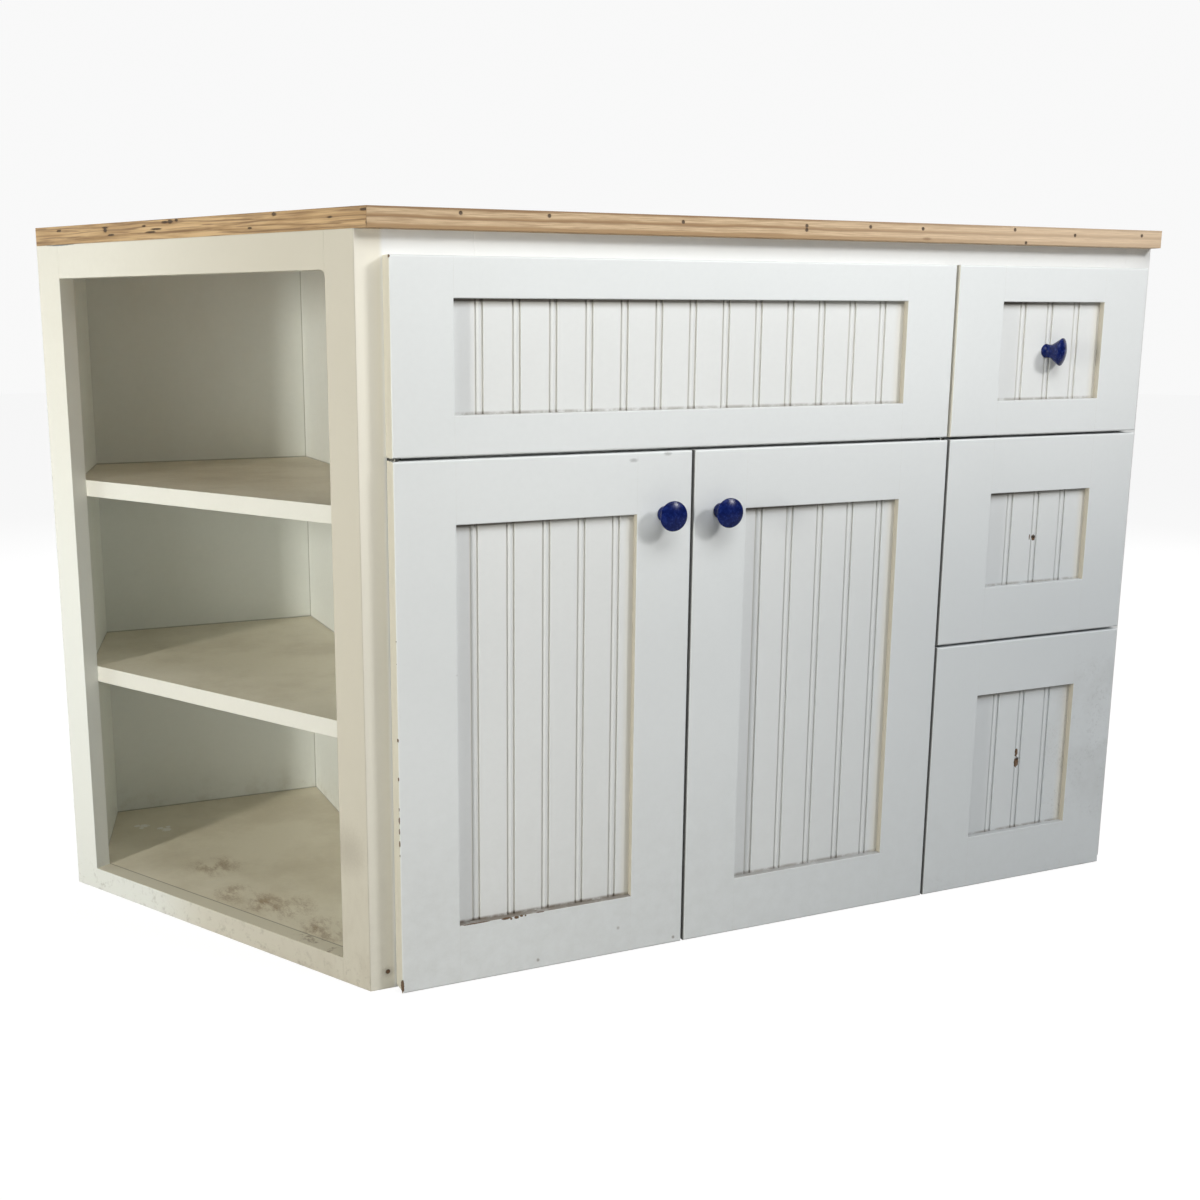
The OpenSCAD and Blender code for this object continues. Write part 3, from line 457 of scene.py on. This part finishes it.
def wall_dirt(m, tone):
    """Rubbed paint, with darker lines in the bay's back corner and where the walls meet the shelves."""
    rub = m.ramp(m.noise(1.0, 5, 0.6, m.stretch(9, 9, 5)), 0.45, 0.75)
    tone = m.over(tone, rub, 0.12, (0.60, 0.58, 0.48))
    seam = m.fall(m.apart(m.x, BAY_CORNER), 0.0004, 0.0016)
    seam = m.mul(seam, m.fall(m.ny, -0.8, -0.5))
    # the three walls of the bay, each told by its place and the way it faces
    back_wall = m.mul(m.fall(m.ny, -0.8, -0.5), m.fall(m.x, BAY_CORNER, BAY_CORNER + 0.002))
    left_wall = m.mul(m.ramp(m.nx, 0.5, 0.8), m.fall(m.x, BAY_CORNER - 0.10, BAY_CORNER - 0.09))
    right_wall = m.mul(m.fall(m.nx, -0.8, -0.5), m.fall(m.apart(m.x, BAY_CORNER), 0.001, 0.002))
    inside = m.top(back_wall, m.top(left_wall, right_wall))
    for node in ("open_deck", "lower_open_shelf", "upper_open_shelf"):
        above = m.add(m.z, -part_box(node)[1][2])
        line = m.mul(m.fall(above, 0.0005, 0.0022), m.ramp(above, -0.001, 0))
        seam = m.top(seam, m.mul(line, inside))
    tone = m.over(tone, seam, 0.6, (0.22, 0.20, 0.15))
    foot = m.mul(m.fall(m.z, 0.02, 0.08), m.ramp(m.noise(40, 4, 0.7), 0.45, 0.7))
    return m.over(tone, foot, 0.22, (0.35, 0.30, 0.20))


wear("left_end_panel shelf_partition back_panel", paint(
    "bay_wall", (0.85, 0.87, 0.83), dirt_and_shade=wall_dirt, ease=0.001))
wear("right_end_panel", paint(
    "end_wall", (0.78, 0.785, 0.76), low=0.35, ease=0.0012, dirt_and_shade=wall_dirt))


# ---------------------------------------------------------------- bare wood inside
def timber(name, pale, dark, axis, rings=34.0):
    """Sawn wood with its grain along axis 0 or 1. With 1, boards that face the front have it along X."""
    m = Look(name, 0.62)
    across = m.ramp(m.math("ABSOLUTE", m.ny), 0.5, 0.8) if axis == 1 else 0.0
    grain = m.join(m.blend(across, m.x, m.y), m.blend(across, m.y, m.x), m.z)

    def drawn_out(scale, lengthwise):
        scales = [scale] * 3
        scales[axis] = lengthwise
        return m.stretch(*scales, vector=grain)

    body = m.noise(1.0, 4, 0.6, drawn_out(rings, rings * 0.035), warp=0.5)
    pores = m.noise(1.0, 3, 0.6, drawn_out(900, 18))
    ring = m.ramp(m.math("FRACT", m.mul(body, 9.0)), 0.0, 0.85)
    tone = m.over(pale, ring, 0.75, dark)
    tone = m.mix(m.ramp(pores, 0.5, 0.75, 0, 0.35), tone, shade(dark, 0.55))
    m.height(pores, 0.00015)
    m.ease(0.0008)
    m.height(m.add(m.mul(ring, 0.3), pores), 0.0001)
    return m.done(tone)


DRAWERS = ("top_drawer", "middle_drawer", "bottom_drawer")
PINE = ((0.66, 0.50, 0.31), (0.50, 0.34, 0.18))
BIRCH = ((0.66, 0.53, 0.37), (0.55, 0.42, 0.27))
DRAWER_PINE = ((0.70, 0.56, 0.38), (0.58, 0.43, 0.26))
DRAWER_PLY = ((0.68, 0.56, 0.40), (0.60, 0.47, 0.31))
wear("top_stretchers false_front_battens", timber("pine_along", *PINE, 0))
wear("runner_packers drawer_runners", timber("pine_back", *PINE, 1))
wear("drawer_partition main_decks cabinet_shelf", timber("shelf_birch", *BIRCH, 1, 12))
wear(" ".join(f"{d}_box {d}_stop" for d in DRAWERS), timber("drawer_pine", *DRAWER_PINE, 1, 26))
wear(" ".join(f"{d}_bottom" for d in DRAWERS), timber("drawer_ply", *DRAWER_PLY, 0, 9))


# ---------------------------------------------------------------- plywood top board
LIP = 0.012  # width of the solid strips round the board
ANGLED_RUN = 10  # keeps the angled strip's lengths apart from the front's
END_RUN = 20  # and the end strips'
END_TURN = (-0.976, 0.216, 0)  # outward normal of the slanted end
END_AT = (-0.6245, 0.149, 0)  # a point on its edge
PLY = 0.004  # one dark and one pale ply together
# Nails on the front edge: x and z
NAILS = ((-0.273, 0.7905), (-0.180, 0.7903), (-0.030, 0.7884), (0.120, 0.7882), (0.120, 0.7841),
         (0.202, 0.7892), (0.272, 0.7888), (0.401, 0.7908), (0.418, 0.7768), (0.490, 0.7867),
         (0.593, 0.7885))
# Voids on the angled edge: length from the bend, z, radius and flatness
VOIDS = ((0.454, 0.7901, 0.0024, 0.5), (0.371, 0.7879, 0.0017, 1.8), (0.371, 0.7905, 0.0028, 0.4),
         (0.361, 0.7823, 0.0034, 0.3), (0.305, 0.7894, 0.0018, 0.6), (0.294, 0.7828, 0.0050, 0.2),
         (0.285, 0.7855, 0.0050, 0.2), (0.270, 0.7920, 0.0034, 0.4), (0.262, 0.7922, 0.0027, 0.8),
         (0.252, 0.7933, 0.0015, 1.0), (0.141, 0.7807, 0.0018, 0.6), (0.106, 0.7926, 0.0019, 1.1),
         (0.030, 0.7864, 0.0020, 0.5), (-0.014, 0.7916, 0.0028, 0.5), (-0.022, 0.7841, 0.0010, 2.2),
         (-0.018, 0.7797, 0.0010, 2.2))


def plywood():
    """Veneered field with solid strips round it, each with its grain along its own edge."""
    m = Look("plywood", 0.64)
    low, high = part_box("top_board")
    front = m.add(m.y, -low[1])
    angled = m.mul(m.along(TURN, BEND), -1)
    right_end = m.sub(high[0], m.x)
    left_end = m.mul(m.along(END_TURN, END_AT), -1)
    side = m.math("MINIMUM", front, angled)
    ends = m.math("MINIMUM", right_end, left_end)
    inward = m.math("MINIMUM", side, ends)
    on_angled = m.ramp(m.sub(front, angled), 0, 0.0002)
    on_end = m.ramp(m.sub(side, ends), 0, 0.0002)
    length = m.blend(on_angled, m.x, m.add(m.along(SLANT, BEND), ANGLED_RUN))
    strip = m.join(m.blend(on_end, length, m.add(m.y, END_RUN)), inward, m.z)
    # broad cathedral figure of the field
    figure = m.noise(1.0, 2, 0.45, m.stretch(0.9, 6, 6), warp=0.3)
    rings = m.math("FRACT", m.mul(figure, 26.0))
    rings = m.mul(m.ramp(rings, 0.30, 0.90), m.fall(rings, 0.90, 1.0))
    pores = m.ramp(m.noise(1.0, 3, 0.65, m.stretch(22, 700, 700)), 0.48, 0.70, 0, 0.35)
    field = m.mix(m.mul(rings, 0.75), (0.61, 0.44, 0.265), (0.42, 0.265, 0.135))
    field = m.mix(pores, field, (0.36, 0.22, 0.11))
    # straight growth rings of the front strip, paler towards the right
    fibre = m.noise(1.0, 5, 0.7, m.stretch(22, 300, 1300, vector=strip))
    wander = m.mul(m.add(m.noise(1.0, 4, 0.6, m.stretch(9, 20, 45, vector=strip)), -0.5), 0.30)
    level = m.add(m.mul(m.add(m.z, -low[2]), 1 / (high[2] - low[2])), wander)
    pale, tan, brown = (0.67, 0.50, 0.315), (0.42, 0.27, 0.135), (0.29, 0.175, 0.085)
    straight = m.band(level, (
        (0.02, tan), (0.16, tan), (0.25, pale), (0.42, pale), (0.51, brown),
        (0.59, tan), (0.67, pale), (0.86, pale), (0.94, brown), (1.0, brown)))
    straight = m.mix(m.ramp(fibre, 0.36, 0.66, 0, 0.72), straight, brown)
    straight = m.mix(m.ramp(m.x, 0.0, 0.6, 0, 0.5), straight, (0.76, 0.60, 0.44))
    # wavy brown grain of the angled strip
    wavy = m.noise(1.0, 5, 0.62, m.stretch(9, 60, 190, vector=strip), warp=0.35)
    streak = m.noise(1.0, 4, 0.6, m.stretch(11, 60, 420, vector=strip), warp=0.3)
    curly = m.mix(m.ramp(wavy, 0.36, 0.64), (0.63, 0.43, 0.225), (0.38, 0.23, 0.10))
    curly = m.mix(m.ramp(streak, 0.47, 0.62, 0, 0.75), curly, (0.20, 0.11, 0.05))
    # the unlipped back edge shows the plies
    plies = m.ramp(m.math("SINE", m.mul(m.add(m.z, -low[2]), math.tau / PLY)), -0.3, 0.3)
    plies = m.mix(plies, (0.60, 0.45, 0.285), (0.36, 0.235, 0.13))
    torn = m.ramp(m.noise(1.0, 3, 0.7, m.stretch(60, 60, 900)), 0.45, 0.7, 0, 0.4)
    plies = m.mix(torn, plies, (0.30, 0.19, 0.10))
    field = m.mix(m.ramp(m.ny, 0.5, 0.9), field, plies)
    tone = m.mix(m.ramp(inward, LIP - 0.0001, LIP + 0.0001), m.mix(on_angled, straight, curly), field)
    glue = m.fall(m.apart(inward, LIP), 0.0002, 0.0006)
    tone = m.over(tone, glue, 0.5, (0.20, 0.12, 0.06))
    nails = m.spots([(x, 0, z, 0.0018) for x, z in NAILS], soft=0.3, place=strip)
    knot = m.spot((0.278, 0, 0.7783), 0.0024, 0.6, (2.2, 1, 0.6), place=strip)
    tone = m.over(tone, knot, 0.6, (0.20, 0.11, 0.05))
    voids = 0.0
    for u, z, radius, flat in VOIDS:
        void = m.spot((ANGLED_RUN + u, 0, z), radius, 0.4, (1.6, 1, 0.85 * flat), 1.0, strip)
        voids = m.top(voids, void)
    holes = m.top(nails, voids)
    tone = m.over(tone, holes, 0.9, (0.06, 0.035, 0.02))
    m.ease(0.0012)
    m.height(fibre, 0.0002)
    m.height(m.sub(1.0, holes), 0.001)
    return m.done(tone)


wear("top_board", plywood())


# ---------------------------------------------------------------- fronts
GROOVE = (0.76, 0.745, 0.69)
SIDE_SHADE = (0.66, 0.62, 0.51)
GAP_SHADE = (0.16, 0.155, 0.145)
OUTER = ("left_door", "false_front", "top_drawer")  # fronts whose outer left side gets the beige painted shade, not the dark gap shade
# x of the left and right edges of each front's recess, and z of its foot
RECESS = {
    "left_door": (-0.2825, -0.0805, 0.066),
    "right_door": (0.0525, 0.2545, 0.066),
    "top_drawer": (0.3875, 0.538, 0.599),
    "middle_drawer": (0.3875, 0.538, 0.379),
    "bottom_drawer": (0.3875, 0.538, 0.066),
    "false_front": (-0.2825, 0.2545, 0.599),
}
LEDGE_DUST = {"left_door": 0.92, "right_door": 0.85, "bottom_drawer": 0.85}  # 0.35 on the others
# Damage on the faces: x, z and radius, then a stretch for chips and a share for stains
CHIPS = {
    "left_door_frame": (
        (-0.3473, 0.378, 0.0007, (1, 2, 1)), (-0.3473, 0.355, 0.0006, (1, 2, 1)),
        (-0.3473, 0.276, 0.0013, (0.7, 2, 1.8)), (-0.3473, 0.235, 0.0010, (0.7, 2, 2.2)),
        (-0.3473, 0.203, 0.0007, (0.8, 2, 3)), (-0.3473, 0.191, 0.0011, (0.7, 2, 3.5)),
        (-0.3473, 0.179, 0.0009, (0.7, 2, 4)), (-0.3473, 0.166, 0.0011, (0.7, 2, 3.5)),
        (-0.3473, 0.153, 0.0007, (0.8, 2, 3)), (-0.3470, 0.009, 0.0023, (0.7, 2, 3.0)),
        (-0.2640, 0.0656, 0.0010, (16, 1, 0.5)), (-0.2300, 0.0652, 0.0013, (4, 1, 1)),
        (-0.2240, 0.0640, 0.0013, (1, 1, 1)), (-0.2180, 0.0645, 0.0016, (1.6, 1, 1)),
        (-0.2120, 0.0652, 0.0012, (1.5, 1, 1)), (-0.2075, 0.0648, 0.0010, (1, 1, 1)),
        (-0.1900, 0.0657, 0.0007, (8, 1, 0.6))),
    "false_front_frame": ((-0.3472, 0.7495, 0.0012, (1, 2, 1.6)),),
    "bottom_drawer_frame": ((0.574, 0.0015, 0.0009, (4, 1, 1)),),
    "middle_drawer_panel": ((0.4626, 0.4337, 0.0030, (1, 1, 1.2)), (0.4560, 0.4350, 0.0012, (0.7, 1, 3))),
    "bottom_drawer_panel": ((0.4613, 0.1510, 0.0040, (1, 1, 1.4)), (0.4606, 0.1640, 0.0022, (0.8, 1, 2.6))),
}
STAINS = {"left_door_frame": (
    (-0.1927, 0.0107, 0.0015, 0.7), (-0.0258, 0.0077, 0.0015, 0.7), (-0.0958, 0.0309, 0.0015, 0.5))}
MARKS = {"left_door_frame": (
    (-0.0853, 0.5480, 0.0026), (-0.0452, 0.5535, 0.0026), (-0.281, 0.3375, 0.0016))}
HOLES = {"middle_drawer_panel": ((0.4628, 0.4337, 0.0024),),
         "bottom_drawer_panel": ((0.4628, 0.1545, 0.0026),)}


def damage(piece, y):
    """What paint() needs for the damage on one piece, whose face is at y."""
    kinds = {"chips": CHIPS, "stains": STAINS, "marks": MARKS, "holes": HOLES}
    return {kind: [(x, y, z, *rest) for x, z, *rest in rows.get(piece, ())] for kind, rows in kinds.items()}


def recess_grime(m, tone, foot, amount):
    """Dust that gathers on a panel at the foot of its recess."""
    ledge = m.mul(m.fall(m.z, foot + 0.0008, foot + 0.004), m.ramp(m.noise(60, 4, 0.7), 0.25, 0.6))
    return m.over(tone, ledge, amount, DIRT)


def ledge_grime(m, tone, foot, amount):
    """The same dust on the frame's own upward face there."""
    here = m.mul(m.ramp(m.nz, 0.4, 0.8), m.fall(m.apart(m.z, foot), 0.003, 0.006))
    patchy = m.ramp(m.noise(45, 5, 0.7), 0.25, 0.55, 0.6, 1)
    return m.over(tone, m.mul(here, patchy), amount, (0.15, 0.115, 0.08))


def worn_corner(m, tone):
    """Scuffs and sticky dust on the lowest drawer's right side."""
    fine = m.mul(m.ramp(m.noise(260, 5, 0.75), 0.48, 0.66), m.ramp(m.noise(30, 4, 0.7), 0.42, 0.62))
    broad = m.ramp(m.noise(14, 4, 0.6), 0.40, 0.62)
    where = m.mul(m.ramp(m.x, 0.49, 0.59), m.ramp(m.z, 0.02, 0.12))
    where = m.mul(where, m.fall(m.z, 0.24, 0.32))
    tone = m.over(tone, m.mul(broad, where), 0.55, (0.36, 0.34, 0.30))
    tone = m.over(tone, m.mul(fine, where), 0.85, (0.17, 0.155, 0.13))
    return m.over(tone, m.mul(fine, m.fall(m.z, 0.0, 0.05)), 0.3, (0.25, 0.23, 0.2))


def soiling_and_shade(m, tone):
    """Painted shade, with some soiling: the fronts are greyer low down and to the right, where the light
    falls off.
    """
    share = m.mul(m.fall(m.z, 0.30, 0.68), m.ramp(m.x, -0.32, 0.60, 0.04, 0.78))
    return m.mix(share, tone, (0.55, 0.585, 0.61))


def front(name, face):
    """Paints one framed front and its beaded panel."""
    left, right, foot = RECESS[name]
    low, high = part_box(f"{name}_frame")
    head = high[2] - (foot - low[2])
    panel_face = face + PANEL_BACK

    def frame_grime_and_shade(m, tone):
        tone = ledge_grime(m, tone, foot, LEDGE_DUST.get(name, 0.35))
        if name == "bottom_drawer":
            tone = worn_corner(m, tone)
        tone = soiling_and_shade(m, tone)
        rim = m.fall(m.z, low[2] + 0.0006, low[2] + 0.0018)
        rim = m.mul(rim, m.ramp(m.noise(50, 4, 0.7), 0.3, 0.6))
        tone = m.over(tone, rim, 0.6 if low[2] < 0.01 else 0.2, (0.24, 0.22, 0.19))
        # painted shade on the left-facing sides: beige outside on some fronts, dark on the rest, tan in the
        # recess
        outer = SIDE_SHADE if name in OUTER else GAP_SHADE
        side = m.mix(m.ramp(m.x, low[0] + 0.002, low[0] + 0.004), outer, (0.54, 0.49, 0.385))
        return m.mix(m.ramp(m.nx, -0.9, -0.6, 0.85, 0), tone, side)

    def panel_grime_and_shade(m, tone):
        tone = soiling_and_shade(m, tone)
        tone = recess_grime(m, tone, foot, 0.85 if name == "left_door" else 0.55)
        # painted shadow of the right stile: a tan band along the panel's right edge
        right_shade = m.ramp(m.x, right - 0.014, right, 0, 0.6)
        tone = m.mix(right_shade, tone, (0.64, 0.60, 0.50))
        # the shadow under the top rail is deeper to the left
        fade = m.ramp(m.x, left, right, 1.0, 0.5)
        soft = m.ramp(m.z, head - 0.010, head - 0.0015, 0, 0.62)
        tone = m.over(tone, soft, fade, (0.34, 0.295, 0.235))
        deep = m.ramp(m.z, head - 0.0034, head - 0.0022, 0, 0.85)
        tone = m.over(tone, deep, fade, (0.10, 0.08, 0.065))
        if name == "bottom_drawer":
            tone = worn_corner(m, tone)
        return tone

    wear(f"{name}_frame", paint(
        f"{name}_paint", WHITE, low=0.22, dirt_and_shade=frame_grime_and_shade, **damage(f"{name}_frame", face)))
    wear(f"{name}_panel", paint(
        f"{name}_beads", (0.81, 0.825, 0.82), low=0.15, depth=(panel_face, panel_face + BEAD_DEPTH, GROOVE),
        dirt_and_shade=panel_grime_and_shade, **damage(f"{name}_panel", panel_face)))


for name in RECESS:
    front(name, FIXED if name == "false_front" else MOVING)


# ---------------------------------------------------------------- knobs and metal
def knob_glaze():
    m = Look("cobalt_glaze", 0.32, Coat_Weight=0.08, Coat_Roughness=0.12, Specular_IOR_Level=0.18)
    mottle = m.noise(260, 4, 0.7)
    tone = m.mix(m.ramp(mottle, 0.35, 0.72), (0.003, 0.008, 0.068), (0.009, 0.022, 0.150))
    tone = m.mix(m.ramp(m.cells(700), 0.02, 0.10, 0.30, 0), tone, (0.05, 0.07, 0.22))
    m.height(m.noise(900, 3, 0.6), 0.00012)
    return m.done(tone, m.ramp(mottle, 0.4, 0.8, 0.20, 0.38))


glaze = knob_glaze()
wear("left_door_knob right_door_knob", glaze)


ARC_STEPS = 12  # along each arc of the knob's profile
TURN_STEPS = 96  # round the knob


def knob_profile():
    """Radius and height along the knob, from below its foot to the top of its cap."""
    foot, foot_h, flare_h, neck = 0.0085, 0.0025, 0.010, 0.0075
    rim_at, rim_h, rim = 0.0145, 0.0201, 0.0015
    cap_h, below = 0.025, 0.008
    half = (flare_h - foot_h) / 2
    waist = (half ** 2 + (foot - neck) ** 2) / (2 * (foot - neck))
    points = [(foot, -below)]
    for i in range(ARC_STEPS + 1):
        h = half * (2 * i / ARC_STEPS - 1)
        points.append((neck + waist - math.sqrt(waist ** 2 - h ** 2), foot_h + half + h))
    dome = (rim_at ** 2 + (cap_h - rim_h - rim) ** 2) / (2 * (cap_h - rim_h - rim)) + rim
    rise, run = rim_h - flare_h, rim_at - foot
    start = math.atan2(rise, run) - math.asin(rim / math.hypot(rise, run)) - math.pi / 2
    end = math.atan2(rim_h - cap_h + dome, rim_at)
    for i in range(ARC_STEPS + 1):
        a = start + (end - start) * i / ARC_STEPS
        points.append((rim_at + rim * math.cos(a), rim_h + rim * math.sin(a)))
    for i in range(1, ARC_STEPS):
        a = end + (math.pi / 2 - end) * i / ARC_STEPS
        points.append((dome * math.cos(a), cap_h - dome + dome * math.sin(a)))
    return points, cap_h


def loose_knob(foot_at, lean, droop, sunk):
    """The top drawer's knob hangs loose on its screw: it leans to the right, and the panel cuts its foot."""
    axis = Vector((math.sin(lean) * math.cos(droop), -math.cos(lean) * math.cos(droop), -math.sin(droop)))
    turn = axis.to_track_quat("Z", "Y").to_matrix()
    points, cap_h = knob_profile()
    angles = [math.tau * i / TURN_STEPS for i in range(TURN_STEPS)]
    build = bmesh.new()

    def ring(r, h):
        places = [Vector((r * math.cos(a), r * math.sin(a), h - sunk)) for a in angles]
        return [build.verts.new(foot_at + turn @ place) for place in places]

    rings = [ring(r, h) for r, h in points]
    tip = build.verts.new(foot_at + axis * (cap_h - sunk))
    for i in range(TURN_STEPS):
        j = (i + 1) % TURN_STEPS
        for lower, upper in zip(rings, rings[1:]):
            build.faces.new((lower[i], lower[j], upper[j], upper[i]))
        build.faces.new((rings[-1][i], rings[-1][j], tip))
    everything = build.verts[:] + build.edges[:] + build.faces[:]
    cut = bmesh.ops.bisect_plane(
        build, geom=everything, plane_co=foot_at, plane_no=(0, 1, 0), clear_outer=True)["geom_cut"]
    bmesh.ops.edgeloop_fill(build, edges=[e for e in cut if isinstance(e, bmesh.types.BMEdge)])
    bmesh.ops.recalc_face_normals(build, faces=build.faces)
    mesh = bpy.data.meshes.new("loose_top_knob")
    build.to_mesh(mesh)
    build.free()
    mesh.shade_smooth()
    mesh.set_sharp_from_angle(angle=math.radians(40))
    mesh.materials.append(glaze)
    knob = bpy.data.objects.new("loose_top_knob", mesh)
    scene.collection.objects.link(knob)
    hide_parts("top_drawer_knob")
    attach(knob, "top_drawer")


low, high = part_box("top_drawer_knob")
loose_knob(Vector(((low[0] + high[0]) / 2, high[1], (low[2] + high[2]) / 2)),
           lean=math.radians(30), droop=math.radians(3.5), sunk=0.0042)


def zinc(name, tone):
    m = Look(name, 0.34, Metallic=1.0)
    haze = m.noise(160, 4, 0.6)
    spangle = m.cells(420)
    tone = m.mix(m.ramp(haze, 0.3, 0.7), tone, shade(tone, 1.26))
    tone = m.mix(m.ramp(spangle, 0.1, 0.6, 0.0, 0.25), tone, (0.30, 0.29, 0.27))
    m.height(haze, 0.00005)
    return m.done(tone, m.ramp(haze, 0.3, 0.75, 0.24, 0.46))


wear("door_brackets door_pins bracket_screws", zinc("dull_zinc", (0.13, 0.13, 0.12)))
wear("false_front_screws shelf_pins left_door_bushes right_door_bushes left_door_strike right_door_strike "
     "left_door_knob_screw right_door_knob_screw top_drawer_knob_screw", zinc("zinc", (0.52, 0.52, 0.50)))


def ivory():
    m = Look("ivory_plastic", 0.40)
    grain = m.noise(900, 2, 0.5)
    m.height(grain, 0.00004)
    tone = m.mix(m.ramp(m.noise(40, 3), 0.3, 0.7), (0.80, 0.77, 0.68), (0.86, 0.83, 0.75))
    return m.done(tone, m.ramp(grain, 0.3, 0.7, 0.36, 0.48))


wear("door_catches", ivory())
